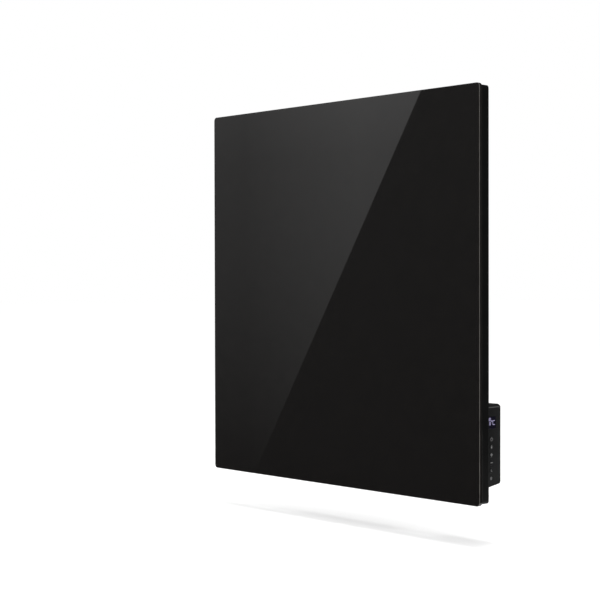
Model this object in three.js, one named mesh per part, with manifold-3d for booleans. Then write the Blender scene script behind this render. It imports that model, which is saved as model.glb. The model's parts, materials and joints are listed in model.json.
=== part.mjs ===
// Infrared panel heater: a black glass panel on a shallow steel case, with a control box on its back and
// a rail that it hangs from on a wall. Millimetres. X is to the right seen from the room, Z is up, and
// the wall is the plane Y = 0, with the room on the -Y side. The origin is the centre of the wall rail's
// rear face.
import * as THREE from "three";
import { mergeVertices } from "three/addons/utils/BufferGeometryUtils.js";
import Module from "manifold-3d";

const wasm = await Module();
wasm.setup();

// Panel and case
const panelWidth = 600;
const panelHeight = 600;
const glassThickness = 6;
const glassCorner = 6;
const glassArris = 0.8; // ground edge of the glass
const caseInset = 2; // case side behind the glass edge
const caseDepth = 17; // glass rear to case rear
const caseCorner = 5;
const caseEdge = 1.5; // bend round the case's rear
const caseSheet = 1;
const caseScrewInset = 50; // from the panel's side edges

// Layers behind the glass
const adhesiveThickness = 0.8;
const adhesiveWidth = 10;
const adhesiveInset = 2; // from the frame's outer edge
const frameWall = 1.2;
const frameFlange = 14;
const frameCorner = 2; // inside corners of the frame
const filmMargin = 25; // glass edge to film edge
const filmCorner = 4;
const filmThickness = 0.4;
const busbarWidth = 10;
const busbarThickness = 0.4;
const busbarInset = 6; // film edge to busbar
const reflectorThickness = 0.5;

// Thermal cut-out and leads
const cutoutWidth = 16;
const cutoutHeight = 9;
const cutoutThickness = 5;
const cutoutEdge = 0.8;
const cutoutRoom = 1; // round the cut-out in its pocket
const cutoutRise = 60; // above the control box
const leadRadius = 1.1;
const leadRoom = 1; // between a lead and what it runs along
const leadSpread = 2.9; // from the grommet's middle to each lead
const leadJog = 30; // up from the grommet before the supply lead turns
const leadSide = 20; // sideways from the grommet before the return lead turns
const tapRise = 25; // where the leads cross the case, above the control box

// Wall rail
const railLength = 240;
const railHeight = 38;
const railSheet = 1.5;
const railDepth = 13.5; // wall to the front of the upturned lip
const railBend = 1;
const lipHeight = 14;
const slotLength = 14;
const slotWidth = 6;
const slotRound = 0.48; // corner radius as a share of the width
const slotInset = 25; // rail's end to the first slot
const slotPitch = 50;

// Channels on the case
const hangDrop = 150; // panel's upper edge to the rail's centre
const hookRoom = 2.5; // under the hanger's lip
const channelLength = 260;
const channelSheet = 1.5;
const channelFoot = 20;
const channelBend = 1;
const channelScrewInset = 18; // from the channel's ends
const hangerScrewPitch = 86; // between the hanger's two middle screws
const spacerRise = 100; // panel's lower edge to the spacer channel
const spacerLip = 24;
const bumperInset = 25; // from the channel's ends
const bumperRadius = 9;
const bumperHeight = 3;
const bumperEdge = 0.8;
const bumperNeck = 3.5;
const bumperButton = 5;
const bumperButtonHeight = 2;

// Control box: its height follows from its display and keys
const boxWidth = 100;
const boxDepth = 32;
const boxToWall = 2.2;
const boxRise = 22.8; // above the panel's lower edge
const boxInset = 8; // from the panel's side edge
const boxWall = 2.2;
const boxCorner = 3.5;
const boxBevel = 1.1;
const topChamfer = 4.1; // along the top's left and right edges
const chamferRound = 1.2; // where the chamfer meets the faces
const undersideRise = 5.2; // the underside climbs by this towards the wall
const ventWidth = 2.4;
const ventLength = 26;
const ventPitch = 6;
const ventCount = 8;
const ventDrop = 38; // box top to the middle of the vents

// Display, keys and receiver on the box's side face
const displayFront = 1.6; // case to display
const displayRear = 10.8; // display to the box's rear
const displayDrop = 26.3; // box top to the display's middle
const displayHeight = 17.6;
const windowRim = 1.6;
const windowSheet = 1;
const windowSunk = 0.1; // below the face
const keyNames = ["power_key", "lock_key", "plus_key", "minus_key", "timer_key"];
const keyDrop = 49.7; // box top to the first key
const keyPitch = 11.3;
const keyRadius = 4;
const keyEdge = 0.3;
const keyProud = 0.4;
const keyTravel = 0.5;
const keyRim = 0.6; // collar that keeps a key in its hole
const keyRimSheet = 0.8;
const receiverRise = 13.8; // box's lower front edge to the receiver
const receiverRadius = 2.4;
const receiverRim = 1.2;
const receiverSize = 5.4;
const receiverHeight = 2.4;
const receiverDome = 1.8;
const domeShare = 0.7; // of the receiver's half width and of the dome's height, where it turns in
const domeTop = 0.5;

// Boards and their switches
const boardSheet = 1.6;
const boardEdge = 2.5; // round a board
const boardEndGap = 5; // control board's end to the box
const switchSize = 6;
const switchHeight = 3.6;
const plungerRadius = 1.7;
const plungerReach = 0.6; // into its switch at rest

// Moulded base
const baseSheet = 2;
const pillarRadius = 3.6;
const pillarInset = 7.5; // from the box's outside
const postRadius = 2.5;
const postHeight = 4.4;
const postPin = 1.2;
const postPinHeight = 0.8; // above the board
const postInset = 5; // from the power board's edges
const guideWall = 2;
const guideGrip = 1.5; // how far a guide reaches over the control board's end
const grommetBore = 5.5;
const grommetSeat = 7;
const grommetRim = 2;
const grommetLip = 1.5;

// Parts on the power board: width, height off the board, and length up the board
const supplySize = [34, 13, 22];
const relaySize = [19.2, 12.6, 15.6];
const terminalSize = [22, 11, 10];
const terminalPitch = 7;
const terminalScrew = 1.9;
const fuseLength = 20;
const fuseCap = 2.7;
const fuseTube = 2.4;
const partGap = 5; // from the power board's edges

// Cord gland under the box
const glandLeft = 42; // from the box's side face
const glandBore = 4.2;
const glandThread = 6;
const glandNeck = 5.5;
const glandHex = 8.6;
const glandHexHeight = 5;
const glandNose = 7;
const capWall = 1.5;
const capBore = 3.7;
const bossRadius = 10;
const bossProud = 0.6; // below the box's lower front edge
const locknutHeight = 3.5;
const threadEnd = 1; // beyond the locknut

// Screws: shank radius, head radius, head height, and how far one bites into its last sheet
const sheetScrew = { shank: 1.9, head: 3.6, height: 2.3, bite: 3 };
const boxScrew = { shank: 1.5, head: 2.9, height: 1.7, bite: 2 };
const recess = { reach: 0.5, width: 0.13, floor: 0.45 }; // shares of the head
const crown = { width: 0.55, shoulder: 0.95, rise: 0.5 };

// Clearances
const slip = 0.3; // between pieces cut to fit each other
const hole = 0.2; // round a screw, thread or pin
const keyGap = 0.25; // round a key, its plunger and the receiver's window
const seat = 0.3; // between bodies that rest on each other
const over = 1; // how far a cutting shape runs past what it cuts

// Worked out from the sizes above. Y is counted from the case's rear until the assembly.
const caseWidth = panelWidth - 2 * caseInset;
const caseHeight = panelHeight - 2 * caseInset;
const frameWidth = caseWidth - 2 * (caseSheet + slip);
const frameHeight = caseHeight - 2 * (caseSheet + slip);
const filmWidth = panelWidth - 2 * filmMargin;
const filmHeight = panelHeight - 2 * filmMargin;
const glassRear = -caseDepth;
const caseFront = glassRear + adhesiveThickness;
const filmRear = glassRear + filmThickness;
const busbarRear = filmRear + busbarThickness;
const reflectorRear = busbarRear + reflectorThickness;
const insulationRear = -(caseSheet + 2 * (leadRoom + leadRadius));
const leadLine = -(caseSheet + leadRoom + leadRadius);
const leadBend = 3 * leadRadius;
const wallGap = boxDepth + boxToWall;
const boxHeight = keyDrop + keyNames.length * keyPitch + receiverRise;
const boxRight = panelWidth / 2 - boxInset;
const boxTop = -panelHeight / 2 + boxRise + boxHeight;
const hangHeight = panelHeight / 2 - hangDrop;
const displayWidth = boxDepth - displayFront - displayRear;
const faceLine = displayFront + displayWidth / 2; // middle of display and keys, from the case
const undersideSlope = undersideRise / boxDepth;

// Colour, roughness and metalness
const finishes = {
  blackGlass: [0x0b0b0c, 0.06, 0.0],
  powderCoat: [0x17171a, 0.55, 0.2],
  boxPlastic: [0x222224, 0.5, 0.0],
  basePlastic: [0x2b2c2e, 0.6, 0.0],
  darkWindow: [0x0a0a18, 0.1, 0.0],
  silicone: [0x202022, 0.7, 0.0],
  carbonFilm: [0x101010, 0.6, 0.0],
  copper: [0xb56a3c, 0.35, 0.9],
  aluminium: [0xc9ccd0, 0.3, 0.9],
  mineralWool: [0xc9c3a8, 0.95, 0.0],
  zincSteel: [0xa9abad, 0.35, 0.9],
  blackSteel: [0x26272a, 0.4, 0.7],
  board: [0x14502c, 0.5, 0.0],
  relayBlue: [0x1f4fa8, 0.4, 0.0],
  terminalGreen: [0x2f8f4e, 0.45, 0.0],
  ceramic: [0xe6e2d8, 0.4, 0.0],
  darkMoulding: [0x3b3b42, 0.4, 0.0],
  leadRed: [0x8f1f1b, 0.5, 0.0],
  leadBlue: [0x1d3f86, 0.5, 0.0],
};

const materials = Object.fromEntries(
  Object.entries(finishes).map(([name, [color, roughness, metalness]]) => [
    name,
    new THREE.MeshStandardMaterial({ name, color, roughness, metalness }),
  ]),
);

// ------------------------------------------------------------------------------------- shapes and solids

function solidOf(geometry) {
  const bare = geometry.clone();
  bare.deleteAttribute("normal");
  bare.deleteAttribute("uv");
  const merged = mergeVertices(bare, 1e-4);
  const triVerts = new Uint32Array(merged.index.array);
  const vertProperties = merged.attributes.position.array;
  return new wasm.Manifold(new wasm.Mesh({ numProp: 3, vertProperties, triVerts }));
}

function geometryOf(solid) {
  const { vertProperties, triVerts } = solid.getMesh();
  const indexed = new THREE.BufferGeometry();
  indexed.setAttribute("position", new THREE.BufferAttribute(vertProperties, 3));
  indexed.setIndex(new THREE.BufferAttribute(triVerts, 1));
  const faceted = indexed.toNonIndexed();
  faceted.computeVertexNormals();
  return faceted;
}

function cut(base, tools) {
  return geometryOf(tools.reduce((solid, tool) => solid.subtract(solidOf(tool)), solidOf(base)));
}

function join(pieces) {
  return geometryOf(pieces.map(solidOf).reduce((whole, solid) => whole.add(solid)));
}

function piece(name, geometry, material, place = [0, 0, 0]) {
  const mesh = new THREE.Mesh(geometry, material);
  mesh.name = name;
  mesh.position.set(...place);
  return mesh;
}

// A block between two corners.
function block([x0, y0, z0], [x1, y1, z1]) {
  const geometry = new THREE.BoxGeometry(x1 - x0, y1 - y0, z1 - z0);
  return geometry.translate((x0 + x1) / 2, (y0 + y1) / 2, (z0 + z1) / 2);
}

// A polygon with each corner [x, y, radius] rounded off.
function roundedShape(corners) {
  const shape = new THREE.Shape();
  corners.forEach(([x, y, radius = 0], i) => {
    const corner = new THREE.Vector2(x, y);
    const towards = (j) => {
      const [nextX, nextY] = corners[(j + corners.length) % corners.length];
      return new THREE.Vector2(nextX, nextY).sub(corner).setLength(radius).add(corner);
    };
    const before = radius ? towards(i - 1) : corner;
    const after = radius ? towards(i + 1) : corner;
    if (i === 0) shape.moveTo(before.x, before.y);
    else shape.lineTo(before.x, before.y);
    if (radius) shape.quadraticCurveTo(x, y, after.x, after.y);
  });
  shape.closePath();
  return shape;
}

function rectangle(width, height, radius = 0) {
  const x = width / 2;
  const z = height / 2;
  return roundedShape([[-x, -z, radius], [x, -z, radius], [x, z, radius], [-x, z, radius]]);
}

// A shape made solid along Z from 0, with its edges bevelled inwards if asked.
function extrude(shape, length, bevel, bevelSegments) {
  const geometry = new THREE.ExtrudeGeometry(shape, {
    depth: length - 2 * bevel,
    curveSegments: 5,
    bevelEnabled: bevel > 0,
    bevelThickness: bevel,
    bevelSize: bevel,
    bevelOffset: -bevel,
    bevelSegments,
  });
  return geometry.translate(0, 0, bevel);
}

// An outline drawn in X and Z, made solid between two values of Y.
function slab(shape, front, rear, bevel = 0, bevelSegments = 1) {
  const geometry = extrude(shape, rear - front, bevel, bevelSegments);
  return geometry.rotateX(Math.PI / 2).translate(0, rear, 0);
}

// A slab whose edges are rounded at the rear only.
function tray(width, height, corner, edge, front, rear) {
  const whole = slab(rectangle(width, height, corner), front - 2 * edge, rear, edge, 3);
  return cut(whole, [block([-width, front - 3 * edge, -height], [width, front, height])]);
}

// A section drawn in Y and Z, made solid between two values of X.
function bar(shape, left, right, bevel = 0, bevelSegments = 1) {
  const turn = new THREE.Matrix4().makeBasis(
    new THREE.Vector3(0, 1, 0),
    new THREE.Vector3(0, 0, 1),
    new THREE.Vector3(1, 0, 0),
  );
  return extrude(shape, right - left, bevel, bevelSegments).applyMatrix4(turn).translate(left, 0, 0);
}

// A turned piece: [radius, y] pairs from the axis at its low end to the axis at its high end.
function turned(profile, sides = 16) {
  const points = profile.map(([radius, y]) => new THREE.Vector2(radius, y));
  return new THREE.LatheGeometry(points, sides);
}

// A turned ring: a profile that keeps clear of the axis and closes on itself.
function ring(profile, sides) {
  return turned([...profile, profile[0]], sides);
}

function rod(radius, from, to, sides = 16) {
  return turned([[0, from], [radius, from], [radius, to], [0, to]], sides);
}

const alongX = (geometry) => geometry.rotateZ(-Math.PI / 2);
const alongZ = (geometry) => geometry.rotateX(Math.PI / 2);

// A round-headed screw: the head's underside at Y = 0, the shank towards -Y, with a cross recess.
function screw({ shank, head, height }, length) {
  const body = turned([
    [0, -length],
    [shank, -length],
    [shank, 0],
    [head, 0],
    [head * crown.shoulder, height * crown.rise],
    [head * crown.width, height],
    [0, height],
  ], 12);
  const reach = head * recess.reach;
  const half = head * recess.width;
  const floor = height * recess.floor;
  return cut(body, [
    block([-reach, floor, -half], [reach, 2 * height, half]),
    block([-half, floor, -reach], [half, 2 * height, reach]),
  ]);
}

const screwHole = ({ shank }, from, to) => rod(shank + hole, from, to, 12);

// --------------------------------------------------------------------------------------------- wall rail

const railLow = -railHeight / 2;
const lipTop = railLow + lipHeight;
const slotZ = (lipTop + railHeight / 2) / 2;
const slotEnd = railLength / 2 - slotInset;
const slotX = [-slotEnd, slotPitch - slotEnd, slotEnd - slotPitch, slotEnd];

// A steel J: a web on the wall with four slots for wall screws, a shelf at its foot and an upturned lip.
function wallRail() {
  const lipRear = railSheet - railDepth;
  const shelfTop = railLow + railSheet;
  const section = roundedShape([
    [0, railLow],
    [0, -railLow],
    [-railSheet, -railLow],
    [-railSheet, shelfTop],
    [lipRear, shelfTop],
    [lipRear, lipTop],
    [-railDepth, lipTop],
    [-railDepth, railLow, railBend],
  ]);
  const slot = rectangle(slotLength, slotWidth, slotWidth * slotRound);
  const slots = slotX.map((x) => slab(slot, -railSheet - over, over).translate(x, 0, slotZ));
  const rail = bar(section, -railLength / 2, railLength / 2);
  return piece("wall_rail", cut(rail, slots), materials.blackSteel);
}

// -------------------------------------------------------------------------------------- glass and layers

function glassPanel() {
  const outline = rectangle(panelWidth, panelHeight, glassCorner);
  const sheet = slab(outline, glassRear - glassThickness, glassRear, glassArris, 2);
  return piece("glass_panel", sheet, materials.blackGlass);
}

function edgeAdhesive() {
  const width = frameWidth - 2 * adhesiveInset;
  const height = frameHeight - 2 * adhesiveInset;
  const outline = rectangle(width, height, caseCorner);
  outline.holes.push(rectangle(width - 2 * adhesiveWidth, height - 2 * adhesiveWidth));
  return piece("edge_adhesive", slab(outline, glassRear, caseFront), materials.silicone);
}

const filmOutline = rectangle(filmWidth, filmHeight, filmCorner);

function heatingFilm() {
  return piece("heating_film", slab(filmOutline, glassRear, filmRear), materials.carbonFilm);
}

const busbarX = filmWidth / 2 - busbarInset - busbarWidth / 2;

function busbars() {
  const outline = rectangle(busbarWidth, filmHeight - 2 * busbarInset);
  const strip = slab(outline, filmRear, busbarRear);
  return [
    piece("busbar_left", strip, materials.copper, [-busbarX, 0, 0]),
    piece("busbar_right", strip, materials.copper, [busbarX, 0, 0]),
  ];
}

// Holes through the layers where a lead goes down to each busbar.
const tapZ = boxTop + tapRise;

function tapHoles(front, rear) {
  return [-busbarX, busbarX].map((x) => rod(leadBend, front - over, rear + over, 12).translate(x, 0, tapZ));
}

function reflectorSheet() {
  const sheet = slab(filmOutline, busbarRear, reflectorRear);
  return piece("reflector_sheet", cut(sheet, tapHoles(busbarRear, reflectorRear)), materials.aluminium);
}

const cutoutPlace = [boxRight - boxWidth / 2, reflectorRear, boxTop + cutoutRise];

function insulationBoard() {
  const board = slab(filmOutline, reflectorRear, insulationRear);
  const x = cutoutWidth / 2 + cutoutRoom;
  const z = cutoutHeight / 2 + cutoutRoom;
  const pocket = block([-x, -over, -z], [x, caseDepth, z]).translate(...cutoutPlace);
  const holes = tapHoles(reflectorRear, insulationRear);
  return piece("insulation_board", cut(board, [...holes, pocket]), materials.mineralWool);
}

function thermalCutout() {
  const outline = rectangle(cutoutWidth, cutoutHeight, 2 * cutoutEdge);
  const body = slab(outline, 0, cutoutThickness, cutoutEdge);
  return piece("thermal_cutout", body, materials.zincSteel, cutoutPlace);
}

// -------------------------------------------------------------------------------------------------- case

const caseScrewEnd = panelWidth / 2 - caseScrewInset;
const flangeLine = frameHeight / 2 - frameFlange / 2;
const caseScrewPlaces = [flangeLine, -flangeLine].flatMap((z) =>
  [-caseScrewEnd, 0, caseScrewEnd].map((x) => [x, z]),
);

// A channel ring, open inwards: its front flange is bonded to the glass, its rear one takes the screws.
function bondFrame() {
  const rear = -caseSheet;
  const ringWidth = frameWidth - 2 * frameWall;
  const ringHeight = frameHeight - 2 * frameWall;
  const groove = rectangle(ringWidth, ringHeight, frameCorner);
  const opening = rectangle(frameWidth - 2 * frameFlange, frameHeight - 2 * frameFlange, frameCorner);
  const tools = [
    slab(groove, caseFront + frameWall, rear - frameWall),
    slab(opening, caseFront - over, rear + over),
    ...caseScrewPlaces.map(([x, z]) => screwHole(sheetScrew, -caseDepth / 2, over).translate(x, 0, z)),
  ];
  const whole = tray(frameWidth, frameHeight, caseCorner, caseEdge - caseSheet + slip, caseFront, rear);
  return piece("bond_frame", cut(whole, tools), materials.aluminium);
}

const grommetPlace = [boxRight - boxWidth / 2, 0, boxTop - boxHeight / 2];

// A folded steel pan over the frame, with holes in its back for the screws and the leads.
function rearCase(screwPlaces) {
  const shell = tray(caseWidth, caseHeight, caseCorner, caseEdge, caseFront, 0);
  const inside = tray(
    caseWidth - 2 * caseSheet,
    caseHeight - 2 * caseSheet,
    caseCorner - caseSheet,
    caseEdge - caseSheet,
    caseFront - over,
    -caseSheet,
  );
  const holes = screwPlaces.map(([kind, x, z]) =>
    screwHole(kind, -caseDepth / 2, over).translate(x, 0, z),
  );
  const leadHole = rod(grommetSeat + hole, -caseDepth / 2, over, 24).translate(...grommetPlace);
  return piece("rear_case", cut(shell, [inside, ...holes, leadHole]), materials.powderCoat);
}

function caseScrews() {
  const geometry = screw(sheetScrew, caseSheet + frameWall + sheetScrew.bite);
  return caseScrewPlaces.map(([x, z], i) =>
    piece(`case_screw_${i + 1}`, geometry, materials.blackSteel, [x, 0, z]),
  );
}

// ---------------------------------------------------------------------------------------------- channels

// A Z section: a foot up the case, a shelf towards the wall and a lip hanging from the shelf's far edge.
function channelSection(reach, lip) {
  return roundedShape([
    [0, 0],
    [reach - channelSheet, 0],
    [reach - channelSheet, -lip],
    [reach, -lip],
    [reach, channelSheet, channelBend],
    [channelSheet, channelSheet],
    [channelSheet, channelFoot],
    [0, channelFoot],
  ]);
}

const footLine = (channelSheet + channelFoot) / 2;
const endScrewX = channelLength / 2 - channelScrewInset;
const hangerScrewX = [-endScrewX, -hangerScrewPitch / 2, hangerScrewPitch / 2, endScrewX];
const spacerScrewX = [-endScrewX, endScrewX];

// The hanger's shelf sits over the rail's lip, and its own lip drops behind it.
const hookDepth = lipHeight - railSheet + seat - hookRoom;
const hangerReach = wallGap - railDepth + railSheet + seat + channelSheet;
const hangerZ = hangHeight + lipTop + seat;
const spacerReach = wallGap - bumperHeight;
const spacerZ = -panelHeight / 2 + spacerRise;
const bumperX = channelLength / 2 - bumperInset;

function channel(name, reach, lip, z, screwX, bumperHoles = []) {
  const body = bar(channelSection(reach, lip), -channelLength / 2, channelLength / 2);
  const holes = screwX.map((x) =>
    screwHole(sheetScrew, -over, channelSheet + over).translate(x, 0, footLine),
  );
  return piece(name, cut(body, [...holes, ...bumperHoles]), materials.powderCoat, [0, 0, z]);
}

function channelScrews(name, screwX, z) {
  const geometry = screw(sheetScrew, channelSheet + caseSheet + sheetScrew.bite);
  return screwX.map((x, i) =>
    piece(`${name}_${i + 1}`, geometry, materials.zincSteel, [x, channelSheet, z + footLine]),
  );
}

function hanger() {
  return [
    channel("hanger_channel", hangerReach, hookDepth, hangerZ, hangerScrewX),
    ...channelScrews("hanger_screw", hangerScrewX, hangerZ),
  ];
}

function spacer() {
  const neck = [spacerReach - channelSheet - over, spacerReach + over];
  const necks = [-bumperX, bumperX].map((x) =>
    rod(bumperNeck + hole, ...neck).translate(x, 0, -spacerLip / 2),
  );
  return [
    channel("spacer_channel", spacerReach, spacerLip, spacerZ, spacerScrewX, necks),
    ...channelScrews("spacer_screw", spacerScrewX, spacerZ),
  ];
}

// Rubber bumpers that are pushed through the spacer's lip and rest on the wall.
function bumpers() {
  const body = turned([
    [0, -channelSheet - bumperButtonHeight],
    [bumperButton - bumperEdge, -channelSheet - bumperButtonHeight],
    [bumperButton, -channelSheet],
    [bumperNeck, -channelSheet],
    [bumperNeck, 0],
    [bumperRadius, 0],
    [bumperRadius, bumperHeight - bumperEdge],
    [bumperRadius - bumperEdge, bumperHeight],
    [0, bumperHeight],
  ], 20);
  const z = spacerZ - spacerLip / 2;
  return [
    piece("bumper_left", body, materials.silicone, [-bumperX, spacerReach, z]),
    piece("bumper_right", body, materials.silicone, [bumperX, spacerReach, z]),
  ];
}

// ------------------------------------------------------------------------------------------------- leads

// A path through set stations, so that a straight run needs only its two ends.
class StationPath extends THREE.Curve {
  constructor(stations) {
    super();
    this.stations = stations;
  }

  at(u) {
    return this.stations[Math.round(u * (this.stations.length - 1))];
  }

  getPointAt(u) {
    return this.at(u).point.clone();
  }

  getTangentAt(u) {
    return this.at(u).tangent.clone();
  }
}

// A lead along straight runs with rounded bends.
function lead(name, corners, material) {
  const bendSteps = 4;
  const points = corners.map((corner) => new THREE.Vector3(...corner));
  const aim = (i) => points[i + 1].clone().sub(points[i]).normalize();
  const stations = [{ point: points[0], tangent: aim(0) }];
  points.slice(1, -1).forEach((corner, i) => {
    const enter = corner.clone().addScaledVector(aim(i), -leadBend);
    const leave = corner.clone().addScaledVector(aim(i + 1), leadBend);
    const curve = new THREE.QuadraticBezierCurve3(enter, corner, leave);
    for (let step = 0; step <= bendSteps; step++) {
      const t = step / bendSteps;
      stations.push({ point: curve.getPoint(t), tangent: curve.getTangent(t) });
    }
  });
  stations.push({ point: points.at(-1), tangent: aim(points.length - 2) });
  const geometry = new THREE.ExtrudeGeometry(new THREE.Shape().absarc(0, 0, leadRadius, 0, 2 * Math.PI), {
    steps: stations.length - 1,
    curveSegments: 4,
    extrudePath: new StationPath(stations),
  });
  return piece(name, geometry, material);
}

const boardFront = baseSheet + postHeight;

// Supply to cut-out, cut-out to the right busbar, and left busbar back to the power board.
function leads() {
  const [x, , z] = grommetPlace;
  const [cutoutX, , cutoutZ] = cutoutPlace;
  const inX = cutoutX - cutoutWidth / 4;
  const outX = cutoutX + cutoutWidth / 4;
  const cutoutRear = reflectorRear + cutoutThickness + slip;
  const busbarEnd = busbarRear + slip;
  const boardEnd = boardFront - slip;
  const supplyX = x + leadSpread;
  const returnX = x - leadSpread;
  return [
    lead("supply_lead", [
      [supplyX, boardEnd, z],
      [supplyX, leadLine, z],
      [supplyX, leadLine, z + leadJog],
      [inX, leadLine, z + leadJog],
      [inX, leadLine, cutoutZ],
      [inX, cutoutRear, cutoutZ],
    ], materials.leadRed),
    lead("cutout_lead", [
      [outX, cutoutRear, cutoutZ],
      [outX, leadLine, cutoutZ],
      [outX, leadLine, tapZ],
      [busbarX, leadLine, tapZ],
      [busbarX, busbarEnd, tapZ],
    ], materials.leadRed),
    lead("return_lead", [
      [returnX, boardEnd, z],
      [returnX, leadLine, z],
      [returnX - leadSide, leadLine, z],
      [returnX - leadSide, leadLine, tapZ],
      [-busbarX, leadLine, tapZ],
      [-busbarX, busbarEnd, tapZ],
    ], materials.leadBlue),
  ];
}

// A rubber ring in the case's back, its inner lip clear of the leads that turn under it.
function wireGrommet() {
  const rim = grommetSeat + grommetRim;
  const innerLip = -(caseSheet + leadRoom - slip);
  const body = ring([
    [grommetBore, innerLip],
    [rim, innerLip],
    [rim, -caseSheet],
    [grommetSeat, -caseSheet],
    [grommetSeat, 0],
    [rim, 0],
    [rim, grommetLip],
    [grommetBore, grommetLip],
  ], 20);
  return piece("wire_grommet", body, materials.silicone, grommetPlace);
}

// ------------------------------------------------------------------------------------------- control box
// Inside this group X = 0 is the side face with the keys, Y = 0 is the case and Z = 0 is the box's top.

const boxInner = boxDepth - boxWall;
const windowBack = -boxWall - windowSheet;
const collarFront = -boxWall - slip;
const collarBack = collarFront - keyRimSheet;
const switchTop = collarBack - keyTravel - slip;
const boardFace = switchTop - switchHeight; // face of the control board
const boardBack = boardFace - boardSheet;
const floorZ = (y, inset) => -boxHeight + y * undersideSlope + inset;
const keyZ = keyNames.map((_, i) => -keyDrop - i * keyPitch);
const receiverZ = -boxHeight + receiverRise;
const glandPlace = [-glandLeft, boxDepth / 2];
const bossLow = -boxHeight - bossProud;
const bossHigh = floorZ(boxDepth / 2 + bossRadius, boxWall);
const pillarX = [boardBack - pillarRadius - boardEdge / 2, -boxWidth + pillarInset];
const pillarZ = [-pillarInset, floorZ(boxDepth, pillarInset)];
const pillarPlaces = pillarX.flatMap((x) => pillarZ.map((z) => [x, z]));

// Side view of the box, drawn in Y and Z and moved in all round by an inset.
function boxSection(inset, corner) {
  const front = -over;
  const rear = boxDepth - inset;
  return roundedShape([
    [front, -inset],
    [front, floorZ(front, inset)],
    [rear, floorZ(rear, inset), corner],
    [rear, -inset, corner],
  ]);
}

// What the chamfers take off the two upper edges, for a form that is moved in all round by an inset.
function chamferCuts(inset, round) {
  const leg = topChamfer - inset * (2 - Math.SQRT2);
  const reach = leg + 2 * round + over;
  const right = roundedShape([
    [-inset + over, -inset - reach],
    [-inset, -inset - reach],
    [-inset, -inset - leg, round],
    [-inset - leg, -inset, round],
    [-inset - reach, -inset],
    [-inset - reach, -inset + over],
    [-inset + over, -inset + over],
  ]);
  const wedge = slab(right, -2 * over, boxDepth + over);
  const mirrored = solidOf(wedge).mirror([1, 0, 0]).translate([-boxWidth, 0, 0]);
  return [wedge, geometryOf(mirrored)];
}

// Holes in the side face for the display, the keys and the receiver.
function faceHoles() {
  const y = displayWidth / 2;
  const z = displayHeight / 2;
  const keyHole = alongX(rod(keyRadius + keyGap, collarFront, over, 20));
  return [
    block([collarFront, -y, -z], [over, y, z]).translate(0, faceLine, -displayDrop),
    ...keyZ.map((place) => keyHole.clone().translate(0, faceLine, place)),
    alongX(rod(receiverRadius + keyGap, collarFront, over)).translate(0, faceLine, receiverZ),
  ];
}

// Screw holes and a row of vents in the wall that faces the room's wall.
function backHoles() {
  const from = boxInner - over;
  const to = boxDepth + over;
  const vent = rectangle(ventWidth, ventLength);
  const firstVent = -boxWidth / 2 - ((ventCount - 1) / 2) * ventPitch;
  return [
    ...pillarPlaces.map(([x, z]) => screwHole(boxScrew, from, to).translate(x, 0, z)),
    ...Array.from({ length: ventCount }, (_, i) =>
      slab(vent, from, to).translate(firstVent + i * ventPitch, 0, -ventDrop),
    ),
  ];
}

function boxShell() {
  const solid = bar(boxSection(0, boxCorner), -boxWidth, 0, boxBevel, 2);
  const space = bar(boxSection(boxWall, boxCorner - boxWall), -boxWidth + boxWall, -boxWall);
  const room = cut(space, chamferCuts(boxWall, 0));
  const front = block([-boxWidth - over, -2 * over, -boxHeight - boxWall], [over, 0, over]);
  const boss = alongZ(rod(bossRadius, bossLow, bossHigh, 24)).translate(...glandPlace, 0);
  const bore = alongZ(rod(glandThread + hole, bossLow - over, bossHigh + boxWall, 24));
  const walls = cut(solid, [...chamferCuts(0, chamferRound), room, front]);
  const holes = [...faceHoles(), ...backHoles(), bore.translate(...glandPlace, 0)];
  return piece("box_shell", cut(join([walls, boss]), holes), materials.boxPlastic);
}

// The power board fills the space between the control board and the far wall, clear of the pillars.
const powerBoard = {
  left: -boxWidth + boxWall + boardEdge / 2,
  right: boardBack - boardEdge,
  top: pillarZ[0] - pillarRadius - boardEdge,
  bottom: pillarZ[1] + pillarRadius + boardEdge,
};
const controlBoard = {
  front: baseSheet + slip,
  rear: boxInner - boardEdge,
  top: -boxWall - boardEndGap,
  bottom: floorZ(boxInner, boxWall) + boardEndGap / 2,
};
const postPlaces = [powerBoard.left + postInset, powerBoard.right - postInset].flatMap((x) =>
  [powerBoard.top - postInset, powerBoard.bottom + postInset].map((z) => [x, z]),
);

// A post for the power board, with a pin that goes through it.
function boardPost() {
  const pinEnd = boardFront + boardSheet + postPinHeight;
  return turned([
    [0, baseSheet / 2],
    [postRadius, baseSheet / 2],
    [postRadius, boardFront],
    [postPin, boardFront],
    [postPin, pinEnd],
    [0, pinEnd],
  ], 12);
}

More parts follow.
